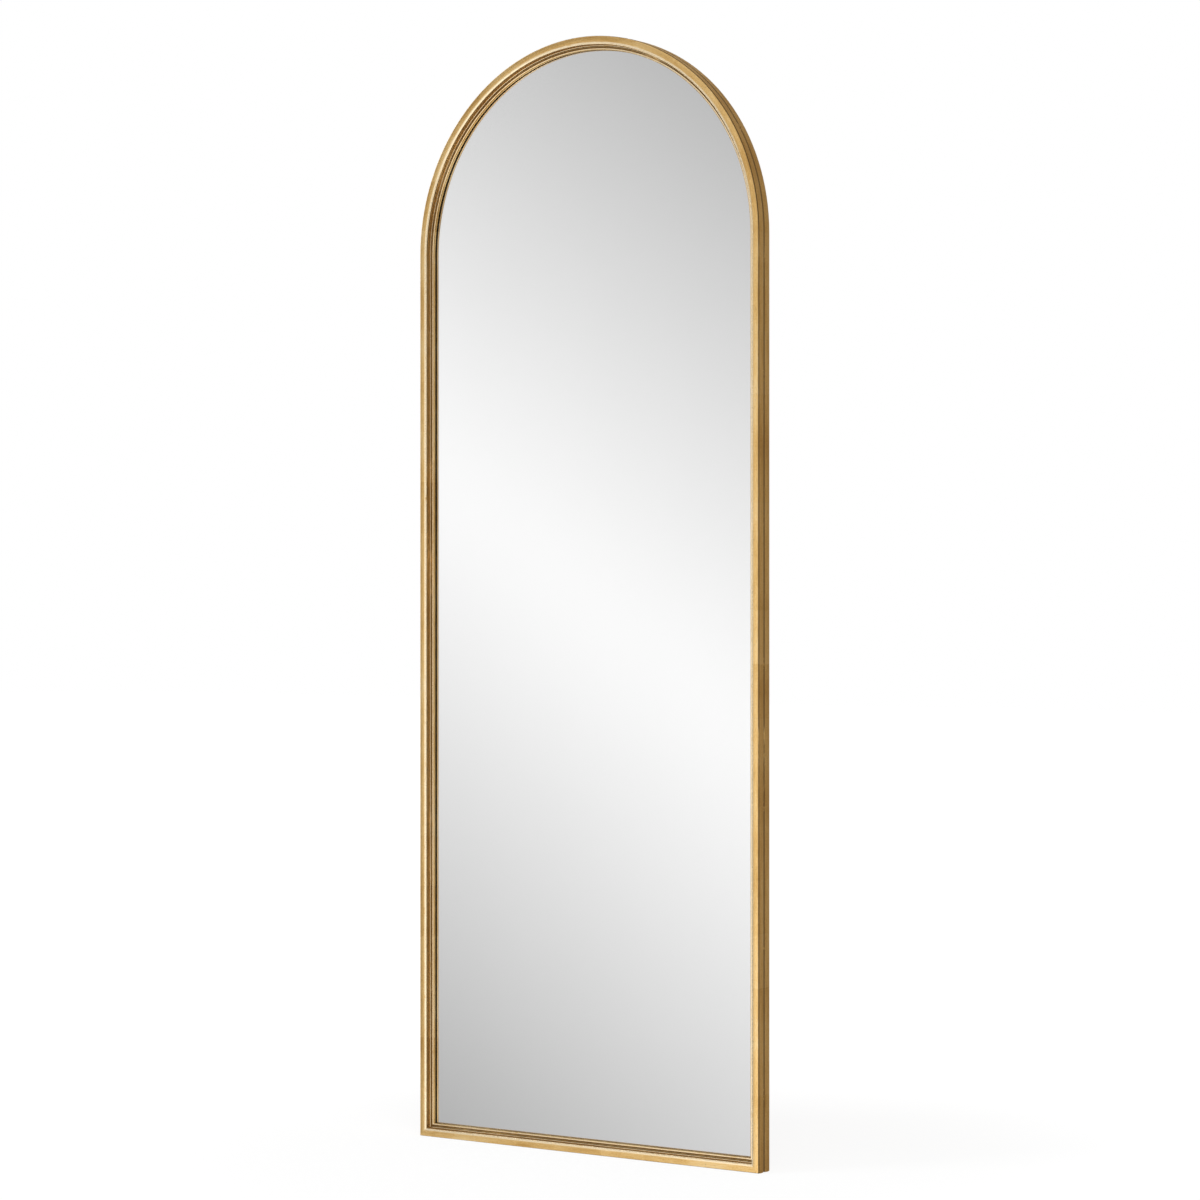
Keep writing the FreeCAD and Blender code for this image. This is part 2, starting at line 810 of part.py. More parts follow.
# ---------------------------------------------------------------- checks and files
doc.recompute()
for made in doc.Objects:
    if {"Invalid", "Error"} & set(made.State):
        raise SystemExit(f"{made.Name} failed: {made.State}")
os.makedirs("parts", exist_ok=True)
for made in pieces:
    shape = made.Shape
    if shape.isNull() or not shape.isValid() or not shape.Solids:
        raise SystemExit(f"{made.Label} has no valid solid")
    shape.exportStep(f"parts/{made.Label}.step")
    print(f"{made.Label}: {len(shape.Solids)} solid(s), {shape.Volume:.0f} mm3")
print(f"{len(pieces)} nodes")
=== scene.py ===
"""The look of a leaning floor mirror with an arched top: gilded steel, beaded bar and glass.

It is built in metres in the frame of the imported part: +Z up, the front faces -Y. The mirror's
own sizes are written in millimetres, and MM brings them to metres.
"""

import math

import bmesh
import bpy
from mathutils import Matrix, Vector


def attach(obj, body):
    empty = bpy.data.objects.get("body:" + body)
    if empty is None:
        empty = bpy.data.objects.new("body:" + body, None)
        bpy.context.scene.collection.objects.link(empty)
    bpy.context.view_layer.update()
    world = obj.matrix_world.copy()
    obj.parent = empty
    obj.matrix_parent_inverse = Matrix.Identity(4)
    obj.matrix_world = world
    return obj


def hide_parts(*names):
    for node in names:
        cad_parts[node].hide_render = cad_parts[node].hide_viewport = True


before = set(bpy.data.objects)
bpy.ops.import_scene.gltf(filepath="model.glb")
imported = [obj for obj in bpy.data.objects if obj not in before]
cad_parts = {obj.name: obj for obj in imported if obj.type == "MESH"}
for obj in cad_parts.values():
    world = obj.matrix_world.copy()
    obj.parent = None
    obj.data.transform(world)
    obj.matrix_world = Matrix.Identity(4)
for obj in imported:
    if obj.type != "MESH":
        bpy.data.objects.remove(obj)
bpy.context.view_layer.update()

# ---------------------------------------------------------------- the photographer's camera
# A long lens at half the mirror's height, to the right of it and level, so that its uprights
# stay upright and its outer right side shows.
LENS, SENSOR = 103.44, 36.0  # millimetres
NEAREST, FARTHEST = 0.05, 100.0
CAMERA_PLACE, CAMERA_TURN = (3.1710, -4.4917, 0.8814), 0.611725  # the turn is in radians


def linked(name, data):
    """A new object of the scene."""
    made = bpy.data.objects.new(name, data)
    bpy.context.scene.collection.objects.link(made)
    return made


camera_data = bpy.data.cameras.new("camera")
camera_data.lens, camera_data.sensor_width = LENS, SENSOR
camera_data.clip_start, camera_data.clip_end = NEAREST, FARTHEST
camera = linked("camera", camera_data)
camera.location = CAMERA_PLACE
camera.rotation_euler = (math.radians(90), 0, CAMERA_TURN)
bpy.context.scene.camera = camera
bpy.context.scene.view_settings.view_transform = "Standard"


# ---------------------------------------------------------------- the studio
# A pale floor runs out into a white surround. A tall graded card in front of the mirror is
# what the glass shows, white and brown cards stand round it, and three soft lamps light it.
class Value:
    """A socket that takes part in plain arithmetic, which adds Math nodes."""

    def __init__(self, finish, socket):
        self.finish, self.socket = finish, socket

    def calc(self, operation, *terms):
        """A Math node on this value and others."""
        inputs = dict(enumerate((self, *terms)))
        return self.finish.node("ShaderNodeMath", {"operation": operation}, inputs)

    def __add__(self, other):
        return self.calc("ADD", other)

    def __sub__(self, other):
        return self.calc("SUBTRACT", other)

    def __mul__(self, other):
        return self.calc("MULTIPLY", other)

    def __truediv__(self, other):
        return self.calc("DIVIDE", other)

    def __pow__(self, other):
        return self.calc("POWER", other)

    def __rsub__(self, other):
        return (self * -1) + other

    __radd__, __rmul__ = __add__, __mul__


class Finish:
    """A material or the surround, made of nodes."""

    def __init__(self, name, data=None):
        self.data = data or bpy.data.materials.new(name)
        self.data.use_nodes = True
        self.tree = self.data.node_tree
        self.tree.nodes.clear()

    def node(self, kind, settings=None, inputs=None, output=0):
        """Adds a node: its settings first, then the values or links of its sockets."""
        made = self.tree.nodes.new(kind)
        for name, setting in (settings or {}).items():
            setattr(made, name, setting)
        for name, given in (inputs or {}).items():
            if isinstance(given, Value):
                self.tree.links.new(given.socket, made.inputs[name])
            elif isinstance(given, tuple) and made.inputs[name].type == "RGBA":
                made.inputs[name].default_value = (*given, 1)
            else:
                made.inputs[name].default_value = given
        return Value(self, made.outputs[output])

    def output(self, shader, kind="ShaderNodeOutputMaterial"):
        """Ends the material with a shader."""
        end = self.tree.nodes.new(kind)
        self.tree.links.new(shader.socket, end.inputs["Surface"])


def ray_is(finish, *kinds):
    """1 for rays of these kinds, and 0 for others."""
    total, *others = (
        finish.node("ShaderNodeLightPath", output=f"Is {kind} Ray") for kind in kinds
    )
    for other in others:
        total = total.calc("MAXIMUM", other)
    return total


def between(share, low, high):
    """A value that runs from low to high as the share runs from 0 to 1."""
    return share * (high - low) + low


def ramp(share, low, high):
    """0 below low, 1 above high, and smooth between them."""
    return share.finish.node(
        "ShaderNodeMapRange",
        {"interpolation_type": "SMOOTHSTEP"},
        {"Value": share, "From Min": low, "From Max": high, "To Min": 0.0, "To Max": 1.0},
    )


WHITE = (1, 1, 1)
SURROUND_LIGHT = 0.62
surround = Finish("surround", bpy.data.worlds.new("surround"))
bpy.context.scene.world = surround.data
seen = ray_is(surround, "Camera", "Glossy", "Transmission")
surround.output(
    surround.node(
        "ShaderNodeBackground",
        inputs={"Color": WHITE, "Strength": between(seen, SURROUND_LIGHT, 1)},
    ),
    "ShaderNodeOutputWorld",
)


def shaped(name, verts, faces):
    """A new object made of points and faces."""
    mesh = bpy.data.meshes.new(name)
    mesh.from_pydata(verts, [], faces)
    return linked(name, mesh)


def flat(name, corners, finish, hidden_from=()):
    """A staged flat sheet with four corners, hidden from some kinds of ray."""
    made = shaped(name, corners, [(0, 1, 2, 3)])
    made.data.materials.append(finish.data)
    for kind in hidden_from:
        setattr(made, f"visible_{kind}", False)


FLOOR_COLOUR, FLOOR_WHITE, FLOOR_HALF = (0.80, 0.80, 0.80), 1.06, 20
FLOOR_GLOW, SHADOW_REACH = 0.80, (0.45, 1.40)  # the glow takes over beyond the shadow
floor_paint = Finish("floor_paint")
floor_matt = floor_paint.node(
    "ShaderNodeBsdfDiffuse", inputs={"Color": FLOOR_COLOUR, "Roughness": 1.0}
)
floor_white = floor_paint.node(
    "ShaderNodeEmission", inputs={"Color": WHITE, "Strength": FLOOR_WHITE}
)
floor_place = floor_paint.node("ShaderNodeNewGeometry", output="Position")
floor_reach = floor_paint.node(
    "ShaderNodeVectorMath", {"operation": "LENGTH"}, {0: floor_place}, output=1
)
floor_glow = between(ramp(floor_reach, *SHADOW_REACH), FLOOR_GLOW, 1)
floor_paint.output(
    floor_paint.node(
        "ShaderNodeMixShader",
        inputs={0: ray_is(floor_paint, "Camera") * floor_glow, 1: floor_matt, 2: floor_white},
    )
)
floor_ways = (-1, -1), (1, -1), (1, 1), (-1, 1)
floor_corners = [(FLOOR_HALF * x, FLOOR_HALF * y, 0) for x, y in floor_ways]
flat("floor", floor_corners, floor_paint, ("glossy", "transmission"))

CARD_PLACE, CARD_HALF, CARD_BOTTOM, CARD_TOP = -3.0, 9, -5, 7
BAND_START, BAND_ACROSS, BAND_UP = -186.0, -242.5, -376.0  # the bright band's slanting line
CARD_BRIGHT, CARD_FALL, CARD_SOFT, CARD_LEAST = 1.004, 0.000904, 70.0, 0.40
CARD_LEFT, CARD_DARK = (-4.3, -2.70), 0.75  # where it falls off on the left, and by how much
CARD_RIGHT, CARD_FAR_RIGHT = (-1.56, -1.20), (-1.00, -0.50)  # lit more on the right, then less
CARD_LIFTS = 0.90, 0.25
CARD_FOOT, CARD_FOOT_LIFT = (-1.10, -0.60), 0.38  # and lit more low down
UNSEEN = ("camera", "diffuse", "shadow", "volume_scatter")
graded = Finish("graded_card")
card_spot = graded.node("ShaderNodeNewGeometry", output="Position")
card_across, card_up = (
    graded.node("ShaderNodeSeparateXYZ", inputs={0: card_spot}, output=axis) for axis in (0, 2)
)
band = card_across * BAND_ACROSS + card_up * BAND_UP + BAND_START
from_band = (band * band + CARD_SOFT**2) ** 0.5 - CARD_SOFT
grade = (CARD_BRIGHT - from_band * CARD_FALL).calc("MAXIMUM", CARD_LEAST)
grade = grade * between(ramp(card_across, *CARD_LEFT), 1 - CARD_DARK, 1)
right_lift = between(ramp(card_across, *CARD_FAR_RIGHT), *CARD_LIFTS)
grade = grade + ramp(card_across, *CARD_RIGHT) * right_lift
grade = grade + (1 - ramp(card_up, *CARD_FOOT)) * CARD_FOOT_LIFT
graded.output(graded.node("ShaderNodeEmission", inputs={"Color": WHITE, "Strength": grade}))


def upright(start, end, foot, top):
    """The corners of a sheet that stands over a line on the floor."""
    return [(*start, foot), (*end, foot), (*end, top), (*start, top)]


card_line = (-CARD_HALF, CARD_PLACE), (CARD_HALF, CARD_PLACE)
flat("graded_card", upright(*card_line, CARD_BOTTOM, CARD_TOP), graded, UNSEEN)

BROWN, SIDE_CARD_FOOT = (1.0, 0.88, 0.68), -3


def card(name, colour, strength, start, end, top):
    """An upright card beside the mirror, over a line on the floor, that only reflections show."""
    paint = Finish(name)
    light = {"Color": colour, "Strength": strength}
    paint.output(paint.node("ShaderNodeEmission", inputs=light))
    flat(name, upright(start, end, SIDE_CARD_FOOT, top), paint, UNSEEN)


card("left_card", WHITE, 1.5, (-3.4, -1.2), (-3.4, 1.6), 6)
card("right_card", BROWN, 0.36, (1.8, -0.1), (1.8, 5), 10)
card("back_card", BROWN, 0.36, (1.8, 5), (-3.2, 5), 10)


def lamp(name, power, width, place, target, mirrored):
    """A soft square lamp that looks at a point, and shows in metal only if it is mirrored."""
    data = bpy.data.lights.new(name, "AREA")
    data.energy, data.size = power, width
    made = linked(name, data)
    made.location = place
    made.visible_glossy = mirrored
    made.rotation_euler = (Vector(target) - Vector(place)).to_track_quat("-Z", "Y").to_euler()


lamp("key_lamp", 70, 1.8, (-2.6, -3.6, 2.9), (0, 0, 1.0), False)
lamp("fill_lamp", 40, 2.2, (3.0, -3.6, 2.2), (0, 0, 0.9), False)
lamp("back_lamp", 60, 2.0, (-2.9, 2.6, 2.4), (0, 0, 1.0), True)

# ---------------------------------------------------------------- front and rear tube rings
# Two rings of square steel tube, one behind the other: mitred at the feet, bent over the top,
# welded, dressed, primed brown and gilded by hand, so the leaf laps and rubs thin.
MM = 0.001
HALF_WIDTH, SPRING = 330.0, 1448.0  # half the mirror's width, and where the arch begins
FRONT = -18.0  # the front face, measured back from the middle of the floor area
TUBE_WIDTH, TUBE_DEPTH, TUBE_ROUND, TUBE_CROWN = 13.5, 16.8, 2.0, 0.35
BEND = math.pi * HALF_WIDTH
CORNER_EASE, CORNER_CUT, CORNER_CLEAR = 0.6, 0.29, 30.0  # the cut is a share of the ease
STILE_STEPS, ARCH_STEPS, RAIL_STEPS = 16, 73, 8
FACE_STEPS, EDGE_STEPS = 8, 6  # over a tube's face and round its edge


def frame_at(far):
    """A place on the outer edge: (x, z, inward x, inward z, distance from the left foot)."""
    if far <= SPRING:
        return -HALF_WIDTH, far, 1, 0, far
    if far < SPRING + BEND:
        turn = (far - SPRING) / HALF_WIDTH
        across, up = math.cos(turn), math.sin(turn)
        return -HALF_WIDTH * across, SPRING + HALF_WIDTH * up, across, -up, far
    if far <= 2 * SPRING + BEND:
        return HALF_WIDTH, 2 * SPRING + BEND - far, -1, 0, far
    return HALF_WIDTH - (far - 2 * SPRING - BEND), 0, 0, 1, far


def on_stiles(height):
    """The distances of both stiles' places at a height."""
    return height, 2 * SPRING + BEND - height


def on_arch(turn):
    """The distance of a place on the arch, in degrees from its crown."""
    return SPRING + BEND / 2 + HALF_WIDTH * math.radians(turn)


def on_rail(across):
    """The distance of a place on the bottom rail, in millimetres from its middle."""
    return 2 * SPRING + BEND + HALF_WIDTH - across


def steps(start, end, count):
    """Equal steps from start to end."""
    return [start + (end - start) * step / count for step in range(count + 1)]


def whole_frame():
    """Places all round the frame, with its two bottom corners mitred and slightly eased."""
    foot, ease, near = 2 * SPRING + BEND, CORNER_EASE, CORNER_CUT * CORNER_EASE
    rail_end = foot + 2 * HALF_WIDTH
    reach = HALF_WIDTH - CORNER_CLEAR
    made = [(-HALF_WIDTH + near, near, 1, 1, 0.0), (-HALF_WIDTH, ease, 1, 1, ease)]
    made += [frame_at(far) for far in steps(CORNER_CLEAR, SPRING, STILE_STEPS)]
    made += [frame_at(far) for far in steps(SPRING, SPRING + BEND, ARCH_STEPS)[1:-1]]
    made += [frame_at(far) for far in steps(SPRING + BEND, foot - CORNER_CLEAR, STILE_STEPS)]
    made += [
        (HALF_WIDTH, ease, -1, 1, foot - ease),
        (HALF_WIDTH - near, near, -1, 1, foot),
        (HALF_WIDTH - ease, 0, -1, 1, foot + ease),
    ]
    made += [frame_at(on_rail(across)) for across in steps(reach, -reach, RAIL_STEPS)]
    return made + [(-HALF_WIDTH + ease, 0, 1, 1, rail_end - ease)]


def quads(near, far, count):
    """Faces between two loops of points, given the number of each loop's first point."""
    made = []
    for point in range(count):
        beside = (point + 1) % count
        made.append((near + point, near + beside, far + beside, far + point))
    return made


def sweep(section, places):
    """Runs a section, a list of (in, back, distance round), all the way round the frame."""
    verts, faces, lays = [], [], []
    for x, z, in_x, in_z, _ in places:
        for inset, back, _ in section:
            verts.append(((x + inset * in_x) * MM, (FRONT + back) * MM, (z + inset * in_z) * MM))
    count, total = len(section), len(places)
    girth = section[-1][2] + math.dist(section[-1][:2], section[0][:2])
    length = 2 * SPRING + BEND + 2 * HALF_WIDTH
    for at in range(total):
        following = (at + 1) % total
        start, end = places[at][4], places[following][4] if following else length
        faces += quads(at * count, following * count, count)
        for point in range(count):
            beside = (point + 1) % count
            low, high = section[point][2], section[beside][2] if beside else girth
            lays.append([(start, low), (start, high), (end, high), (end, low)])
    return verts, faces, lays


def face_outwards(mesh):
    """Turns the faces of a closed mesh outwards."""
    turned = bmesh.new()
    turned.from_mesh(mesh)
    bmesh.ops.recalc_face_normals(turned, faces=turned.faces)
    turned.to_mesh(mesh)
    turned.free()


def build(name, verts, faces, finish, lays=None, sharp=40):
    """A piece of the mirror from its points and faces, laid out in metres for its finish."""
    made = shaped(name, verts, faces)
    mesh = made.data
    mesh.materials.append(finish.data)
    if lays:
        layer = mesh.uv_layers.new(name="lay")
        numbers = [number * MM for lay in lays for corner in lay for number in corner]
        layer.uv.foreach_set("vector", numbers)
    face_outwards(mesh)
    mesh.polygons.foreach_set("use_smooth", [True] * len(mesh.polygons))
    mesh.set_sharp_from_angle(angle=math.radians(sharp))
    return made


def seat(made, body, slot, *nodes):
    """Fixes a piece to its body and lets it stand for its solids, which it hides; its slot is not
    used.
    """
    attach(made, body)
    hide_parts(*nodes)


def measured(points):
    """Adds to each section point its distance round from the first."""
    far, made = 0.0, []
    for number, point in enumerate(points):
        if number:
            far += math.dist(point, points[number - 1])
        made.append((*point, far))
    return made


def arc(centre, radius, start, end, count):
    """Points on an arc, its ends included, with angles in degrees."""
    return [
        (centre[0] + radius * math.cos(turn), centre[1] + radius * math.sin(turn))
        for turn in (math.radians(angle) for angle in steps(start, end, count))
    ]


def crowned(start, end, out, rise):
    """Points inside one face of a tube, which swells outwards by its rise in the middle."""
    made = []
    for share in steps(0, 1, FACE_STEPS)[1:-1]:
        swell = rise * (1 - (2 * share - 1) ** 2)
        made.append(tuple(a + (b - a) * share + way * swell for a, b, way in zip(start, end, out)))
    return made


def tube_section(setback):
    """A tube's outside, from the middle of its inner face, which is flat for what seats on it."""
    width, depth, radius, crown = TUBE_WIDTH, TUBE_DEPTH, TUBE_ROUND, TUBE_CROWN
    near, right, rear = crown + radius, width - radius, depth - crown - radius
    points = [(width, depth / 2)]
    points += crowned((width, depth / 2), (width, rear), (1, 0), 0)
    points += arc((right, rear), radius, 0, 90, EDGE_STEPS)
    points += crowned((right, depth - crown), (near, depth - crown), (0, 1), crown)
    points += arc((near, rear), radius, 90, 180, EDGE_STEPS)
    points += crowned((crown, rear), (crown, near), (-1, 0), crown)
    points += arc((near, near), radius, 180, 270, EDGE_STEPS)
    points += crowned((near, crown), (right, crown), (0, -1), crown)
    points += arc((right, near), radius, 270, 360, EDGE_STEPS)
    points += crowned((width, near), (width, depth / 2), (1, 0), 0)
    return measured([(inset, back + setback) for inset, back in points])


def place_on(section, inset, back):
    """How far round a section its nearest point to a place is, in metres."""
    return min(section, key=lambda point: math.dist(point[:2], (inset, back)))[2] * MM


def noise(finish, spot, scale, detail, rough):
    """Soft noise from 0 to 1 at a place, its cells one over scale across."""
    inputs = {"Vector": spot, "Scale": scale, "Detail": detail, "Roughness": rough}
    return finish.node("ShaderNodeTexNoise", {"noise_dimensions": "3D"}, inputs)


def grain(x, y, z=0.0, detail=3.0, rough=0.55):
    """Noise at a place, each way stretched as its value is."""
    spot = x.finish.node("ShaderNodeCombineXYZ", inputs={0: x, 1: y, 2: z})
    return noise(x.finish, spot, 1.0, detail, rough)


def blend(share, first, second):
    """A colour between two others."""
    settings, inputs = {"data_type": "RGBA", "clamp_factor": True}, {0: share, 6: first, 7: second}
    return share.finish.node("ShaderNodeMix", settings, inputs, output=2)


def surface(finish, colour, roughness, metallic, height, depth, more=None):
    """Ends a finish with its colour and gloss, and with a height worked to a depth in metres."""
    bump = finish.node("ShaderNodeBump", inputs={"Distance": depth, "Height": height})
    inputs = {"Base Color": colour, "Roughness": roughness, "Metallic": metallic, "Normal": bump}
    inputs.update(more or {})
    finish.output(finish.node("ShaderNodeBsdfPrincipled", inputs=inputs))
    return finish


LEAF_PALE, LEAF_GOLD, LEAF_DEEP = (0.93, 0.70, 0.37), (0.84, 0.555, 0.22), (0.62, 0.36, 0.11)
# the pale colour of leaf worn bright by rubbing, which also serves as painted highlight
BURNISH_AND_HIGHLIGHT = (0.98, 0.80, 0.53)
# the second is dark brown glaze, which on the tube's inner wall also serves as painted shade
BOLE, GLAZE_AND_SHADE = (0.15, 0.065, 0.018), (0.095, 0.045, 0.008)
LEAF_LENGTH, LAP_WIDTH, LAP_WANDER = 0.083, 0.012, 0.10  # the last two are shares of a leaf
BAND_CORE = 0.4  # how much of a band's half width is at full strength
GILT_SHEEN, GILT_DEPTH = 0.3, 0.00008


def bands(section, *marks):
    """Bands round a section from (in, back, half width, strength) marks, in millimetres."""
    return [
        (place_on(section, inset, back), half * MM, strength)
        for inset, back, half, strength in marks
    ]


def banded(around, marks):
    """Marks along the length: 1 in the middle of each (place, half width, strength) band."""
    found = None
    for spot, half, strength in marks:
        off = (around - spot).calc("ABSOLUTE")
        mark = (1 - ramp(off, half * BAND_CORE, half)) * strength
        found = found.calc("MAXIMUM", mark) if found else mark
    return found


def gilding(name, lines, rubs_and_highlights):
    """Antiqued gold leaf, with glaze bands, partly painted shade, and bright worn bands, partly
    painted highlights.
    """
    gilt = Finish(name)
    lay = gilt.node("ShaderNodeUVMap", {"uv_map": "lay"})
    along, around = (
        gilt.node("ShaderNodeSeparateXYZ", inputs={0: lay}, output=axis) for axis in (0, 1)
    )
    cloud = grain(along * 9, around * 34, 2.0, 4.0, 0.6)
    fine = grain(along * 55, around * 240, 5.0, 5.0, 0.65)
    streak = grain(along * 30, around * 1300, 7.0, 3.0, 0.6)
    hair = grain(along * 80, around * 3800, 9.0, 2.0, 0.6)
    speck = grain(along * 380, around * 460, 3.0, 5.0, 0.75)
    lap = along / LEAF_LENGTH + grain(along * 30, around * 110, 11.0) * LAP_WANDER
    leaf_number = {"W": lap.calc("FLOOR")}
    leaf = gilt.node("ShaderNodeTexWhiteNoise", {"noise_dimensions": "1D"}, leaf_number)
    lap_edge = (1 - ramp(lap.calc("FRACT"), 0.0, LAP_WIDTH)) * ramp(fine, 0.46, 0.62)
    tone = cloud * 0.34 + streak * 0.24 + hair * 0.12 + speck * 0.30 + (leaf - 0.5) * 0.06
    colour = blend(ramp(tone, 0.40, 0.53), LEAF_DEEP, LEAF_GOLD)
    colour = blend(ramp(tone, 0.50, 0.62), colour, LEAF_PALE)
    patchy = grain(along * 15, around * 90, 13.0, 5.0, 0.72) * 0.5
    broken = ramp(patchy + grain(along * 3.5, 0.0, 21.0, 2.0) * 0.5, 0.36, 0.47)
    # dark glaze bands, partly painted shade on the tube's inner wall
    glazed_and_shaded = banded(around, lines) * broken
    # bands worn bright by rubbing, partly painted highlights on edges and bead tops
    rubbed_and_highlit = banded(around, rubs_and_highlights) * ramp(fine, 0.26, 0.48)
    flecks = ramp(speck * 0.6 + fine * 0.4, 0.56, 0.64)
    worn = (flecks * 0.6).calc("MAXIMUM", lap_edge * 0.4)
    colour = blend(worn, colour, BOLE)
    colour = blend(glazed_and_shaded, colour, GLAZE_AND_SHADE)
    colour = blend(rubbed_and_highlit, colour, BURNISH_AND_HIGHLIGHT)
    dull = worn.calc("MAXIMUM", glazed_and_shaded) * (1 - rubbed_and_highlit)
    roughness = streak * 0.10 + speck * 0.14 + cloud * 0.08 + dull * 0.30 + 0.22 - rubbed_and_highlit * 0.12
    height = streak * 0.22 + hair * 0.12 + speck * 0.35 + fine * 0.35 + cloud * 0.30 - worn * 0.1
    more = {"Specular IOR Level": GILT_SHEEN}
    return surface(gilt, colour, roughness, 1 - dull * 0.8, height, GILT_DEPTH, more)


front_section, rear_section = tube_section(0), tube_section(TUBE_DEPTH)
BACK_EDGE = 2 * TUBE_DEPTH
front_gilding = gilding(
    "front_gilding",
    bands(
        front_section,
        (0, 1.6, 1.6, 1.0),
        (0.5, TUBE_DEPTH, 1.9, 0.85),
        # glaze streaks down the inner wall, which are also painted shade of this recessed wall
        (TUBE_WIDTH, 3.2, 1.4, 0.95),
        (TUBE_WIDTH, 7.4, 1.7, 0.95),
        (TUBE_WIDTH, 10.4, 1.0, 0.9),
    ),
    # the inner front edge worn bright, which is also a painted highlight
    bands(front_section, (TUBE_WIDTH - 1.6, 0.2, 2.9, 1.0)),
)
rear_gilding = gilding(
    "rear_gilding",
    bands(rear_section, (0.5, TUBE_DEPTH, 2.1, 0.85)),
    bands(rear_section, (0, BACK_EDGE, 1.6, 0.6), (TUBE_WIDTH, BACK_EDGE, 1.6, 0.6)),
)
BARS = ("left_stile", "right_stile", "arch", "bottom_rail")
frame_round = whole_frame()
for row, section, gilt in (
    ("front", front_section, front_gilding),
    ("rear", rear_section, rear_gilding),
):
    verts, faces, lays = sweep(section, frame_round)
    ring = build(f"{row}_tube_ring", verts, faces, gilt, lays, 50)
    seat(ring, "frame", "gilded_steel", *(f"{row}_{bar}" for bar in BARS))

# ---------------------------------------------------------------- stitch welds in the seam
# Short beads run into the groove between the two rings, all round the outside, and ground
# almost flush before the brown ground and the leaf go over them.
WELD_LENGTH, WELD_STEPS = 18.0, 12
WELD_FOOT = 1.3  # how deep in the groove a bead starts
WELD_END, WELD_RIPPLE, WELD_NARROW = 0.97, 0.97, 0.4
WELD_TURNS, WELD_RAIL = (-60, -30, 0, 30, 60), (-220, 0, 220)
WELD_SHAPE = [(1.3, -0.30), (0.75, -0.70), (0.40, -0.62), (0.24, -0.25)]
WELD_SHAPE += [(depth, -across) for depth, across in reversed(WELD_SHAPE)]
WELD_HEIGHTS = steps(120.0, SPRING, 6)[:-1]
weld_places = [far for height in WELD_HEIGHTS for far in on_stiles(height)]
weld_places += [on_arch(turn) for turn in WELD_TURNS]
weld_places += [on_rail(across) for across in WELD_RAIL]


def joined(shapes):
    """Several shapes, each (points, faces), as one."""
    verts, faces = [], []
    for more_verts, more_faces in shapes:
        first = len(verts)
        verts += more_verts
        faces += [tuple(first + index for index in face) for face in more_faces]
    return verts, faces


def loops_to_shape(loops):
    """A closed shape through loops of as many points each, with flat ends."""
    count = len(loops[0])
    verts = [point for loop in loops for point in loop]
    faces = []
    for at in range(len(loops) - 1):
        faces += quads(at * count, (at + 1) * count, count)
    faces.append(tuple(reversed(range(count))))
    faces.append(tuple(range(len(verts) - count, len(verts))))
    return verts, faces


def bead(middle):
    """One weld bead, which rises out of the groove and dies away again in slight ripples."""
    loops = []
    for number, share in enumerate(steps(-WELD_END, WELD_END, WELD_STEPS)):
        x, z, in_x, in_z, _ = frame_at(middle + share * WELD_LENGTH / 2)
        rise = math.sqrt(1 - share**2) * (WELD_RIPPLE if number % 2 else 1.0)
        loop = []
        for depth, across in WELD_SHAPE:
            inset = WELD_FOOT - (WELD_FOOT - depth) * rise
            back = FRONT + TUBE_DEPTH + across * (WELD_NARROW + (1 - WELD_NARROW) * rise)
            loop.append(((x + inset * in_x) * MM, back * MM, (z + inset * in_z) * MM))
        loops.append(loop)
    return loops_to_shape(loops)


def spot_grain(finish, scale, detail=3.0, rough=0.55, stretch=(1, 1, 1)):
    """Noise that is fixed to the piece, its cells one over scale across."""
    spot = finish.node("ShaderNodeTexCoord", output="Object")
    drawn = finish.node("ShaderNodeVectorMath", {"operation": "MULTIPLY"}, {0: spot, 1: stretch})
    return noise(finish, drawn, scale, detail, rough)


weld_gilding = Finish("weld_gilding")
weld_cloud = spot_grain(weld_gilding, 240, 4.0)
weld_colour = blend(ramp(weld_cloud, 0.35, 0.62), BOLE, LEAF_GOLD)
surface(
    weld_gilding,
    weld_colour,
    1 - ramp(weld_cloud, 0.3, 0.7) * 0.5,
    ramp(weld_cloud, 0.32, 0.5),
    spot_grain(weld_gilding, 900, 4.0),
    depth=0.00015,
)
welds = build("weld_beads", *joined([bead(far) for far in weld_places]), weld_gilding, sharp=60)
seat(welds, "frame", "gilded_weld", "stitch_welds")

# ---------------------------------------------------------------- beaded sight bar
# A rolled strip welded inside the front ring: a narrow bead, a flat groove and a wide bead.
# It is gilded with the ring, and the brown glaze is left to lie in its grooves.
SIGHT_FRONT, SIGHT_BACK, GROOVE = 10.0, 14.5, 10.9
SIGHT_EDGE = TUBE_WIDTH + 8.0
NARROW_BEAD, WIDE_BEAD, FLAT_WIDTH = 2.0, 3.8, 1.1
WIDE_START, BEAD_STEPS = SIGHT_EDGE - WIDE_BEAD, 12


def half_round(start, width):
    """A bead's front from the groove's floor over its top and down again."""
    rise = GROOVE - SIGHT_FRONT
    radius = (width**2 / 4 + rise**2) / (2 * rise)
    half = math.degrees(math.asin(min(1.0, width / 2 / radius)))
    middle = (start + width / 2, SIGHT_FRONT + radius)
    return arc(middle, radius, 270 - half, 270 + half, BEAD_STEPS)


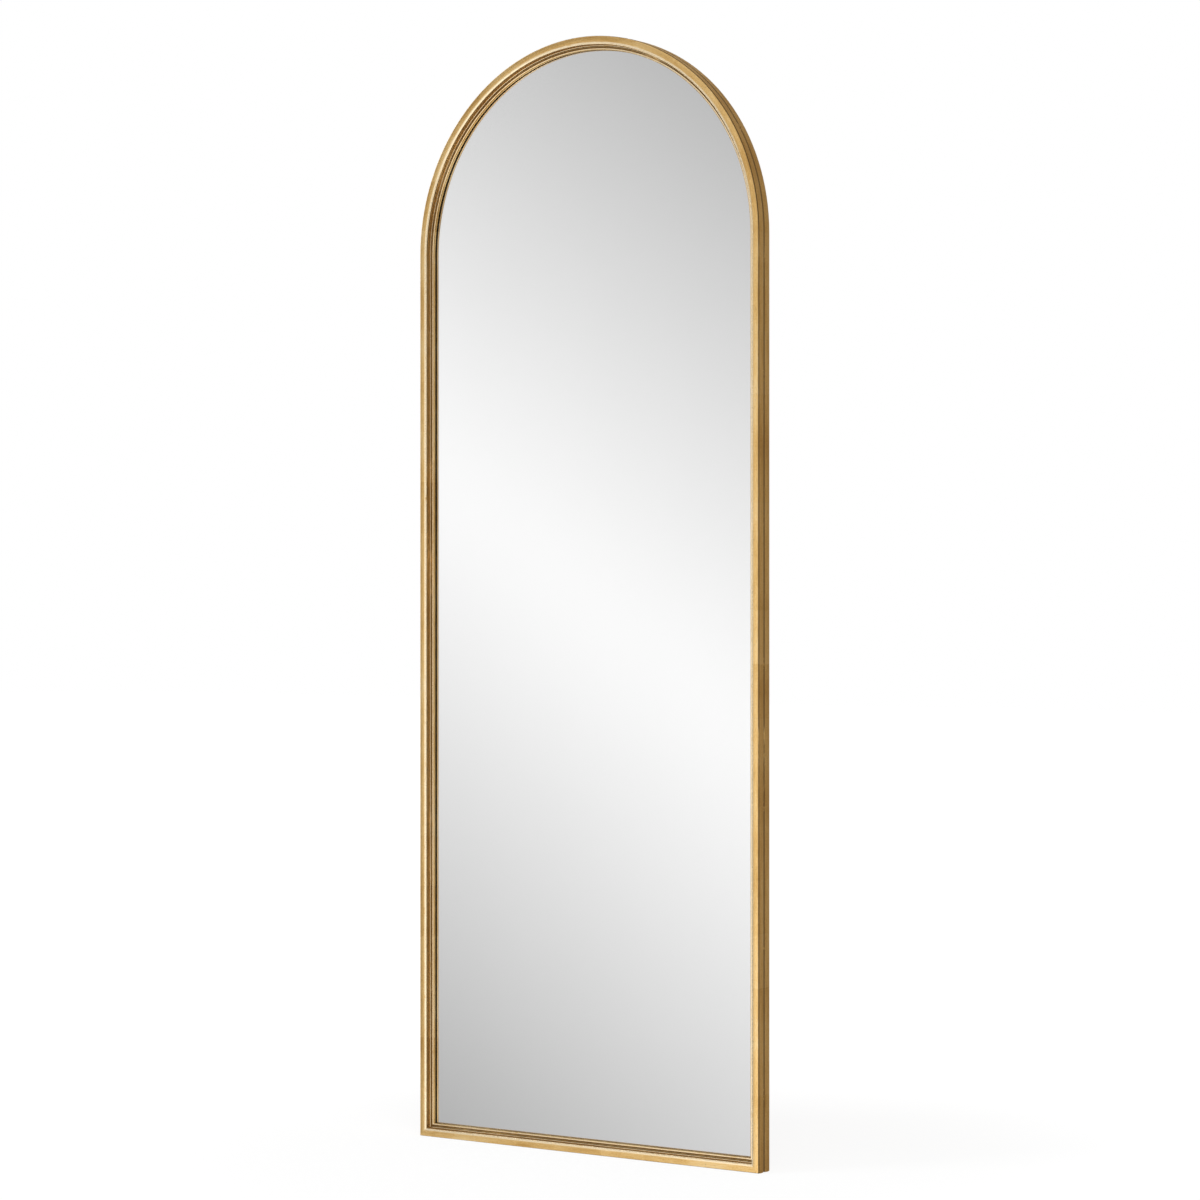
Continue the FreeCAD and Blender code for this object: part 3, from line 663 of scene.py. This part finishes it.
sight_points = [(SIGHT_EDGE, SIGHT_BACK), (TUBE_WIDTH, SIGHT_BACK)]
sight_points += half_round(TUBE_WIDTH, NARROW_BEAD)
sight_points += [(TUBE_WIDTH + NARROW_BEAD + FLAT_WIDTH, GROOVE)]
sight_points += half_round(WIDE_START, WIDE_BEAD)
sight_section = measured(sight_points)
sight_gilding = gilding(
    "sight_gilding",
    bands(
        sight_section,
        (TUBE_WIDTH, GROOVE, 0.8, 0.9),
        (TUBE_WIDTH + NARROW_BEAD + 0.4, GROOVE, 1.2, 1.0),
        (WIDE_START - 0.3, GROOVE, 1.2, 1.0),
        (SIGHT_EDGE, GROOVE, 0.8, 0.8),
    ),
    # the bead tops worn bright, which are also painted highlights
    bands(
        sight_section,
        (TUBE_WIDTH + NARROW_BEAD / 2, SIGHT_FRONT, 0.9, 1.0),
        (WIDE_START + WIDE_BEAD / 2, SIGHT_FRONT, 1.4, 0.9),
    ),
)
verts, faces, lays = sweep(sight_section, frame_round)
sight_ring = build("sight_bar_ring", verts, faces, sight_gilding, lays, 50)
sight_bars = (f"{bar}_sight_bar" for bar in ("left", "right", "arch", "bottom"))
seat(sight_ring, "frame", "gilded_bead", *sight_bars)

# ---------------------------------------------------------------- seal tape
# A thin ring of black closed-cell tape that keeps the glass off the sight bar.
TAPE_FRONT, GLASS_FRONT = 14.5, 14.9
TAPE_OUTER, TAPE_INNER = 15.8, 20.7  # in from the frame's outer edge


def matt(name, cells, dark, light, roughness, depth):
    """Rubber or foam, whose cells (scale, detail, rough) give its colour, gloss and height."""
    made = Finish(name)
    pores = spot_grain(made, *cells)
    rough = between(pores, *roughness)
    return surface(made, blend(pores, dark, light), rough, 0.0, pores, depth)


TAPE_DARK, TAPE_LIGHT = (0.020, 0.016, 0.012), (0.042, 0.034, 0.027)
tape_black = matt("tape_black", (2600, 2.0), TAPE_DARK, TAPE_LIGHT, (0.7, 0.9), 0.0001)
tape_section = measured(
    [
        (TAPE_OUTER, TAPE_FRONT),
        (TAPE_INNER, TAPE_FRONT),
        (TAPE_INNER, GLASS_FRONT),
        (TAPE_OUTER, GLASS_FRONT),
    ]
)
verts, faces, _ = sweep(tape_section, frame_round)
seat(build("seal_tape_ring", verts, faces, tape_black), "frame", "seal_tape", "rebate_tape")

# ---------------------------------------------------------------- mirror glass
# One sheet of 4 mm float glass, cut to the arch with its arrises taken off, and silvered on
# the back, so that what it shows lies behind its clear thickness.
GLASS_INSET, GLASS_BACK, GLASS_ARRIS = 15.0, 18.9, 0.5
SILVER_GAP = 0.04  # keeps what lies behind the silver clear of it


def sheet(levels, places):
    """A flat sheet with the frame's outline, through levels of (in, back)."""
    return loops_to_shape(
        [
            [
                ((x + inset * in_x) * MM, (FRONT + back) * MM, (z + inset * in_z) * MM)
                for x, z, in_x, in_z, _ in places
            ]
            for inset, back in levels
        ]
    )


def polished(name, cells, dark, light, more):
    """A finish with no roughness, its two tints in soft clouds (scale, detail)."""
    made = Finish(name)
    tint = blend(spot_grain(made, *cells), dark, light)
    inputs = {"Base Color": tint, "Roughness": 0.0, **more}
    made.output(made.node("ShaderNodeBsdfPrincipled", inputs=inputs))
    return made


through = {"IOR": 1.52, "Transmission Weight": 1.0}
clear_glass = polished("clear_glass", (5, 3.0), (0.990, 0.993, 0.990), (1.0, 1.0, 1.0), through)
silver_tints = (0.950, 0.950, 0.950), (0.968, 0.968, 0.968)
silver = polished("silver", (3, 2.0), *silver_tints, {"Metallic": 1.0})
glass_levels = [
    (GLASS_INSET + GLASS_ARRIS, GLASS_FRONT),
    (GLASS_INSET, GLASS_FRONT + GLASS_ARRIS),
    (GLASS_INSET, GLASS_BACK - GLASS_ARRIS),
    (GLASS_INSET + GLASS_ARRIS, GLASS_BACK),
]
glass = build("silvered_glass", *sheet(glass_levels, frame_round), clear_glass, sharp=20)
glass.data.materials.append(silver.data)
glass.data.polygons[-1].material_index = 1  # the last face is the back
seat(glass, "frame", "silvered_glass", "mirror_glass")

# ---------------------------------------------------------------- foam tape
# Four upright strips of white double-sided foam that bed the glass on its board.
FOAM_WIDTH, FOAM_BACK, FOAM_FOOT, FOAM_PITCH, FOAM_STEP = 19.0, 20.4, 90.0, 160.0, 60.0
FOAM_THICK = FOAM_BACK - GLASS_BACK - SILVER_GAP


def resampled(points, step):
    """A line with a point at least every step, each with its distance, and the whole length."""
    made, far = [(points[0], 0.0)], 0.0
    for start, end in zip(points, points[1:]):
        length = math.dist(start, end)
        count = max(1, math.ceil(length / step))
        for share in steps(0, 1, count)[1:]:
            spot = tuple(a + (b - a) * share for a, b in zip(start, end))
            made.append((spot, far + length * share))
        far += length
    return made, far


def left_of(before, after):
    """The way to the left of a flat line that runs from one point to another."""
    run = math.dist(before, after)
    return (before[1] - after[1]) / run, (after[0] - before[0]) / run


def strip(points, width, thickness, step=1.0, rounds=(0.0, 0.0), ease=0.15):
    """A flat strip along a line, with eased edges and ends rounded to two radii.

    Its points are (along the line's first way, along its second way, across the strip).
    """
    line, length = resampled(points, step)
    half, loops = thickness / 2, []
    for number, ((first, second), far) in enumerate(line):
        before, after = line[max(0, number - 1)][0], line[min(len(line) - 1, number + 1)][0]
        out = left_of(before, after)
        reach = width / 2
        for radius, left in zip(rounds, (far, length - far)):
            if left < radius:
                rounded = math.sqrt(radius**2 - (radius - left) ** 2)
                reach = min(reach, width / 2 - radius + rounded)
        outline = [
            (reach, ease - half),
            (reach, half - ease),
            (reach - ease, half),
            (ease - reach, half),
            (-reach, half - ease),
            (-reach, ease - half),
            (ease - reach, -half),
            (reach - ease, -half),
        ]
        loops.append([(first + out[0] * up, second + out[1] * up, over) for over, up in outline])
    return loops_to_shape(loops)


def moved(shape, change):
    """A shape with each of its points changed, and brought to metres."""
    verts, faces = shape
    return [tuple(number * MM for number in change(*point)) for point in verts], faces


foam_strips = []
foam_middle = FRONT + FOAM_BACK - FOAM_THICK / 2
for number in (-1.5, -0.5, 0.5, 1.5):
    across = number * FOAM_PITCH
    reach = abs(across) + FOAM_WIDTH / 2
    top = SPRING + math.sqrt((HALF_WIDTH - GLASS_INSET) ** 2 - reach**2) - FOAM_FOOT
    foam = strip([(FOAM_FOOT, 0), (top, 0)], FOAM_WIDTH, FOAM_THICK, FOAM_STEP)
    foam_strips.append(moved(foam, lambda up, out, over: (across + over, foam_middle + out, up)))
FOAM_DARK, FOAM_LIGHT = (0.62, 0.61, 0.57), (0.82, 0.81, 0.77)
foam_white = matt("foam_white", (1400, 4.0, 0.7), FOAM_DARK, FOAM_LIGHT, (0.75, 0.95), 0.0002)
seat(build("foam_strips", *joined(foam_strips), foam_white), "frame", "foam_tape", "mounting_tape")

# ---------------------------------------------------------------- backing board
# A 5 mm sheet of bare brown fibreboard behind the glass, sawn to the arch, its face pressed
# smooth and its edge a little furry.
BOARD_FRONT, BOARD_BACK, FRONT_EASE, BACK_EASE = FOAM_BACK, 25.4, 0.2, 0.3
BOARD_DARK, BOARD_LIGHT = (0.235, 0.140, 0.078), (0.400, 0.262, 0.158)
BOARD_FLECK = (0.13, 0.075, 0.040)
fibreboard = Finish("fibreboard")
mottle = spot_grain(fibreboard, 9, 4.0, 0.6)
fibre = spot_grain(fibreboard, 420, 5.0, 0.72, (1, 1, 0.35))
long_fibre = spot_grain(fibreboard, 160, 4.0, 0.65, (0.35, 1, 1))
board_tone = mottle * 0.35 + fibre * 0.40 + long_fibre * 0.25
board_colour = blend(ramp(board_tone, 0.36, 0.64), BOARD_DARK, BOARD_LIGHT)
fleck = ramp(spot_grain(fibreboard, 700, 2.0, 0.5), 0.66, 0.74)
board_colour = blend(fleck * 0.5, board_colour, BOARD_FLECK)
board_height = fibre * 0.7 + long_fibre * 0.3
surface(fibreboard, board_colour, fibre * 0.20 + 0.62, 0.0, board_height, depth=0.00012)
board_levels = [
    (GLASS_INSET + FRONT_EASE, BOARD_FRONT),
    (GLASS_INSET, BOARD_FRONT + FRONT_EASE),
    (GLASS_INSET, BOARD_BACK - BACK_EASE),
    (GLASS_INSET + BACK_EASE, BOARD_BACK),
]
board = build("fibreboard_back", *sheet(board_levels, frame_round), fibreboard, sharp=30)
seat(board, "frame", "board", "backing_board")

# ---------------------------------------------------------------- setting blocks and packers
# Black rubber pads pushed into the gap between the tube and the edges of glass and board: two
# carry the weight on the bottom rail, and four keep the glass central between the stiles.
BLOCK_LENGTH, PACKER_LENGTH, PAD_EASE, PAD_STEP = 60.0, 40.0, 0.25, 5.0
PAD_THICK, PAD_MIDDLE = GLASS_INSET - TUBE_WIDTH, (GLASS_INSET + TUBE_WIDTH) / 2
BLOCK_RAIL, PACKER_HEIGHTS = (-165, 165), (400, 1200)


def set_at(far, inward=0.0):
    """Puts a point (in, back, along) at a place on the frame's outer edge."""
    x, z, in_x, in_z, _ = frame_at(far)

    def put(inset, back, along):
        inset += inward
        return x + inset * in_x - along * in_z, FRONT + back, z + inset * in_z + along * in_x

    return put


def rubber_pad(length, far):
    """A pad as deep as tape, glass, foam and board together."""
    depth, middle = BOARD_BACK - TAPE_FRONT, (BOARD_BACK + TAPE_FRONT) / 2
    pad = strip([(-length / 2, 0), (length / 2, 0)], depth, PAD_THICK, PAD_STEP, ease=PAD_EASE)
    put = set_at(far)
    return moved(pad, lambda along, out, over: put(PAD_MIDDLE + out, middle + over, along))


PAD_DARK, PAD_LIGHT = (0.018, 0.018, 0.019), (0.050, 0.049, 0.047)
black_rubber = matt("black_rubber", (900, 4.0, 0.6), PAD_DARK, PAD_LIGHT, (0.55, 0.80), 0.0001)
blocks = [rubber_pad(BLOCK_LENGTH, on_rail(across)) for across in BLOCK_RAIL]
packer_places = [far for height in PACKER_HEIGHTS for far in on_stiles(height)]
packers = [rubber_pad(PACKER_LENGTH, far) for far in packer_places]
for name, pads, node in (
    ("setting_block_pair", blocks, "setting_blocks"),
    ("side_packer_set", packers, "side_packers"),
):
    seat(build(name, *joined(pads), black_rubber), "frame", "packing_rubber", node)

# ---------------------------------------------------------------- clips
# Bent strips of zinc plated sheet, screwed to the inside of the rear ring. Each foot lies on
# the board and presses it and the glass forwards.
CLIP_THICK, CLIP_WIDTH, CLIP_FOOT, CLIP_LEG, CLIP_BEND = 1.2, 20.0, 18.0, 7.0, 0.5
CLIP_HEIGHTS, CLIP_TURNS, CLIP_RAIL = (150, 707, 1264), (-50, 0, 50), (-85, 85)
BEND_STEPS = 6


def angle_line(front, thick, bend, leg, foot):
    """The middle line of a strip that lies on the tube's inner face and bends inwards."""
    turn = bend + thick
    line = [(TUBE_WIDTH + thick / 2, front + leg)]
    line += arc((TUBE_WIDTH + turn, front + turn), bend + thick / 2, 180, 270, BEND_STEPS)
    return line + [(TUBE_WIDTH + foot, front + thick / 2)]


clip_line = angle_line(BOARD_BACK, CLIP_THICK, CLIP_BEND, CLIP_LEG, CLIP_FOOT)
clip_shape = strip(clip_line, CLIP_WIDTH, CLIP_THICK, step=0.8, rounds=(1.6, 3.0))
BORE_RADIUS = HALF_WIDTH - TUBE_WIDTH
CLIP_SEAT = BORE_RADIUS - math.sqrt(BORE_RADIUS**2 - (CLIP_WIDTH / 2) ** 2)
clip_places = [(far, 0.0) for height in CLIP_HEIGHTS for far in on_stiles(height)]
clip_places += [(on_arch(turn), CLIP_SEAT) for turn in CLIP_TURNS]
clip_places += [(on_rail(across), 0.0) for across in CLIP_RAIL]


def plating(name, dark, light, roughness):
    """Zinc or nickel plate on steel: cloudy, with fine rolling lines and a few dull spots."""
    plate = Finish(name)
    clouds = spot_grain(plate, 60, 4.0, 0.6)
    lines = spot_grain(plate, 700, 3.0, 0.6, (1, 1, 0.08))
    spots = ramp(spot_grain(plate, 330, 3.0, 0.6), 0.62, 0.74)
    tone = clouds * 0.6 + lines * 0.4
    colour = blend(ramp(tone, 0.35, 0.65), dark, light)
    colour = blend(spots * 0.35, colour, tuple(share * 0.45 for share in dark))
    dull = clouds * 0.18 + spots * 0.2 + roughness
    return surface(plate, colour, dull, 1.0, lines, depth=0.00004)


zinc_plate = plating("zinc_plate", (0.42, 0.41, 0.37), (0.66, 0.65, 0.60), 0.26)
clips = joined([moved(clip_shape, set_at(far, inward)) for far, inward in clip_places])
seat(build("retaining_clips", *clips, zinc_plate), "frame", "plated_steel", "board_clips")

# ---------------------------------------------------------------- clip screws
# Small pan-head screws with a cross recess, driven through each clip into the tube's wall.
SCREW_HEIGHT = BOARD_BACK + 4.2
SCREW_TURN = 37  # degrees that each screw stops further round than the last
CLIP_TOP = TUBE_WIDTH + CLIP_THICK
SCREW_PROFILE = [(-6.6, 0.0), (-5.4, 1.2), (0.0, 1.2), (0.0, 2.25), (0.45, 2.25), (0.85, 2.12)]
SCREW_PROFILE += [(1.2, 1.78), (1.45, 1.2), (1.57, 0.6), (1.6, 0.0)]
RECESS_WIDTH, RECESS_LENGTH = 0.62, 2.5
RECESS_LEVELS = (0.55, 0.35), (2.2, 1.15)  # (place along the screw, share of the length)
ROUND_SIDES = 28


def lathe(profile, sides):
    """A round shape about its first way, from (place along, radius) points."""
    verts, faces, loops = [], [], []
    for along, radius in profile:
        if radius == 0:
            loops.append([len(verts)] * sides)
            verts.append((along, 0.0, 0.0))
            continue
        loops.append(list(range(len(verts), len(verts) + sides)))
        for side in range(sides):
            turn = 2 * math.pi * side / sides
            verts.append((along, radius * math.cos(turn), radius * math.sin(turn)))
    for near, far in zip(loops, loops[1:]):
        for side in range(sides):
            beside = (side + 1) % sides
            corners = (near[side], near[beside], far[beside], far[side])
            faces.append(tuple(dict.fromkeys(corners)))
    return verts, faces


def with_cross(shape):
    """A screw with a tapered cross cut into the top of its head."""
    screw = shaped("screw", *shape)
    cutters = []
    for turned in (False, True):
        loops = []
        for along, share in RECESS_LEVELS:
            wide, long = RECESS_WIDTH / 2, RECESS_LENGTH / 2 * share
            corners = [(-wide, -long), (wide, -long), (wide, long), (-wide, long)]
            if turned:
                corners = [(long_way, -short_way) for short_way, long_way in corners]
            loops.append([(along, *corner) for corner in corners])
        cutter = shaped("cutter", *loops_to_shape(loops))
        face_outwards(cutter.data)
        cut = screw.modifiers.new("cross", "BOOLEAN")
        cut.operation, cut.solver, cut.object = "DIFFERENCE", "EXACT", cutter
        cutters.append(cutter)
    bpy.context.view_layer.update()
    cut_screw = screw.evaluated_get(bpy.context.evaluated_depsgraph_get()).to_mesh()
    verts = [tuple(vert.co) for vert in cut_screw.vertices]
    faces = [tuple(face.vertices) for face in cut_screw.polygons]
    for spent in (screw, *cutters):
        bpy.data.objects.remove(spent)
    return verts, faces


screw_shape = with_cross(lathe(SCREW_PROFILE, ROUND_SIDES))
screws = []
for number, (far, inward) in enumerate(clip_places):
    put = set_at(far, inward)
    turn = math.radians(SCREW_TURN * number)
    screws.append(
        moved(
            screw_shape,
            lambda out, back, along: put(
                CLIP_TOP + out,
                SCREW_HEIGHT + back * math.cos(turn) - along * math.sin(turn),
                back * math.sin(turn) + along * math.cos(turn),
            ),
        )
    )
screw_plate = plating("screw_plate", (0.38, 0.36, 0.30), (0.62, 0.58, 0.48), 0.24)
screw_set = build("pan_head_screws", *joined(screws), screw_plate, sharp=35)
seat(screw_set, "frame", "screw_steel", "clip_screws")

# ---------------------------------------------------------------- ring hangers
# On each side a plate is welded to the inside of the rear ring and stands off the board. A
# folded strap is riveted to it and curls round the straight side of a wire ring.
HANGER_HEIGHT, PLATE_DROP = 1330.0, 14.0
PLATE_THICK, PLATE_WIDTH, PLATE_HEIGHT, PLATE_FLANGE, PLATE_BEND = 1.5, 48.0, 64.0, 4.5, 0.8
PLATE_FRONT = BOARD_BACK + 1.6
STRAP_THICK, STRAP_WIDTH, STRAP_LENGTH, STRAP_JOGGLE, RING_LIFT = 1.2, 14.0, 36.0, 5.0, 2.1
PIN_INSET, PIN_BACK = 28.0, 4.8  # the pin's place, from the tube and from the plate's front
RING_PLACE = (HALF_WIDTH - TUBE_WIDTH - PIN_INSET, FRONT + PLATE_FRONT + PIN_BACK, HANGER_HEIGHT)
WIRE, CURL_CLEAR, CURL_STEPS = 3.0, 0.05, 40
plate_line = angle_line(PLATE_FRONT, PLATE_THICK, PLATE_BEND, PLATE_FLANGE, PLATE_WIDTH)
plate_shape = strip(plate_line, PLATE_HEIGHT, PLATE_THICK, rounds=(0.0, 6.0), ease=0.2)
curl = WIRE / 2 + CURL_CLEAR + STRAP_THICK / 2
strap_back = RING_LIFT + STRAP_THICK / 2
strap_line = [(-strap_back, -STRAP_LENGTH), (-strap_back, -STRAP_JOGGLE - 0.6)]
strap_line += [(-strap_back + 0.04, -STRAP_JOGGLE + 0.4), (-curl - 0.06, -0.9)]  # the joggle
strap_line += arc((0, 0), curl, 180, -120, CURL_STEPS)
strap_shape = strip(strap_line, STRAP_WIDTH, STRAP_THICK, step=0.6, rounds=(5.0, 0.8))
strap_zinc = plating("strap_zinc", (0.45, 0.43, 0.37), (0.70, 0.67, 0.58), 0.25)

RING_WIDTH, RING_LEG, RING_BEND = 21.0, 8.0, 2.5
half_ring = RING_WIDTH / 2
ring_line = arc((half_ring - RING_BEND, -RING_BEND), RING_BEND, 90, 0, 8)
ring_line += arc((0, -RING_BEND - RING_LEG), half_ring, 0, -180, 36)
ring_line += arc((RING_BEND - half_ring, -RING_BEND), RING_BEND, 180, 90, 8)
WIRE_SIDES = 20


def wire_ring(line, wire):
    """A ring of round wire along a closed flat line of (across, up) points."""
    verts, faces = [], []
    for number, (x, z) in enumerate(line):
        out = left_of(line[number - 1], line[(number + 1) % len(line)])
        for side in range(WIRE_SIDES):
            turn = 2 * math.pi * side / WIRE_SIDES
            reach, deep = wire / 2 * math.cos(turn), wire / 2 * math.sin(turn)
            verts.append((x + out[0] * reach, deep, z + out[1] * reach))
    for number in range(len(line)):
        following = (number + 1) % len(line)
        faces += quads(number * WIRE_SIDES, following * WIRE_SIDES, WIRE_SIDES)
    return verts, faces


ring_shape = wire_ring(ring_line, WIRE)
nickel = plating("nickel", (0.56, 0.54, 0.50), (0.78, 0.76, 0.72), 0.12)
RIVET_GRIP, RIVET_DROPS = PLATE_THICK + STRAP_THICK, (9.0, 28.0)
RIVET_PROFILE = [(-1.0, 0.0), (-1.0, 2.5), (-0.75, 2.95), (0.0, 3.0), (0.0, 1.6)]
RIVET_PROFILE += [
    (RIVET_GRIP + rise, reach)
    for rise, reach in ((0, 1.6), (0, 3.0), (0.2, 2.9), (0.55, 2.4), (0.85, 1.5), (1.0, 0.0))
]
rivet_shape = lathe(RIVET_PROFILE, ROUND_SIDES)
rivets = []
for side, name in ((-1, "left"), (1, "right")):
    far = on_stiles(HANGER_HEIGHT - PLATE_DROP)[side > 0]
    plate = build(f"{name}_hanger_bracket", *moved(plate_shape, set_at(far)), zinc_plate)
    seat(plate, "frame", "plated_steel", f"{name}_hanger_plate")
    x, y, z = side * RING_PLACE[0], RING_PLACE[1], RING_PLACE[2]
    strap = moved(strap_shape, lambda out, up, over: (x + over, y + out, z + up))
    strap_piece = build(f"{name}_hanger_strap", *strap, strap_zinc)
    seat(strap_piece, "frame", "strap_steel", f"{name}_ring_strap")
    wire = moved(ring_shape, lambda over, out, up: (x + over, y + out, z + up))
    ring_piece = build(f"{name}_hanger_ring", *wire, nickel, sharp=80)
    seat(ring_piece, f"{name}_ring", "ring_steel", f"{name}_d_ring")
    y = FRONT + PLATE_FRONT
    for down in RIVET_DROPS:
        rivet = moved(rivet_shape, lambda out, over, up: (x + over, y + out, z - down + up))
        rivets.append(rivet)
rivet_steel = plating("rivet_steel", (0.46, 0.46, 0.46), (0.72, 0.72, 0.72), 0.22)
rivet_piece = build("rivet_set", *joined(rivets), rivet_steel, sharp=50)
seat(rivet_piece, "frame", "rivet_steel", "hanger_rivets")

# ---------------------------------------------------------------- wall bumpers
# Four small rubber domes stuck on the back of the rear ring, which touch the wall first.
BUMPER_PROFILE = [(0.0, 0.0), (0.0, 4.5), (1.3, 4.5), (1.85, 4.3), (2.2, 3.9), (2.36, 3.2)]
BUMPER_PROFILE += [(2.4, 2.2), (2.4, 0.0)]
BUMPER_SIDES, BUMPER_TURNS, BUMPER_RAIL = 32, (-40, 40), (-270, 270)
bumper_shape = lathe(BUMPER_PROFILE, BUMPER_SIDES)
bumper_places = [on_arch(turn) for turn in BUMPER_TURNS]
bumper_places += [on_rail(across) for across in BUMPER_RAIL]
bumpers = []
for far in bumper_places:
    put, middle = set_at(far), TUBE_WIDTH / 2
    bumper = moved(bumper_shape, lambda out, over, up: put(middle + over, BACK_EDGE + out, up))
    bumpers.append(bumper)
DOME_DARK, DOME_LIGHT = (0.022, 0.020, 0.018), (0.070, 0.064, 0.058)
DOME_CELLS, DOME_DEPTH = (1500, 3.0, 0.6), 0.00006
dome_rubber = matt("bumper_rubber", DOME_CELLS, DOME_DARK, DOME_LIGHT, (0.42, 0.62), DOME_DEPTH)
domes = build("bumper_domes", *joined(bumpers), dome_rubber, sharp=50)
seat(domes, "frame", "bumper_rubber", "wall_bumpers")
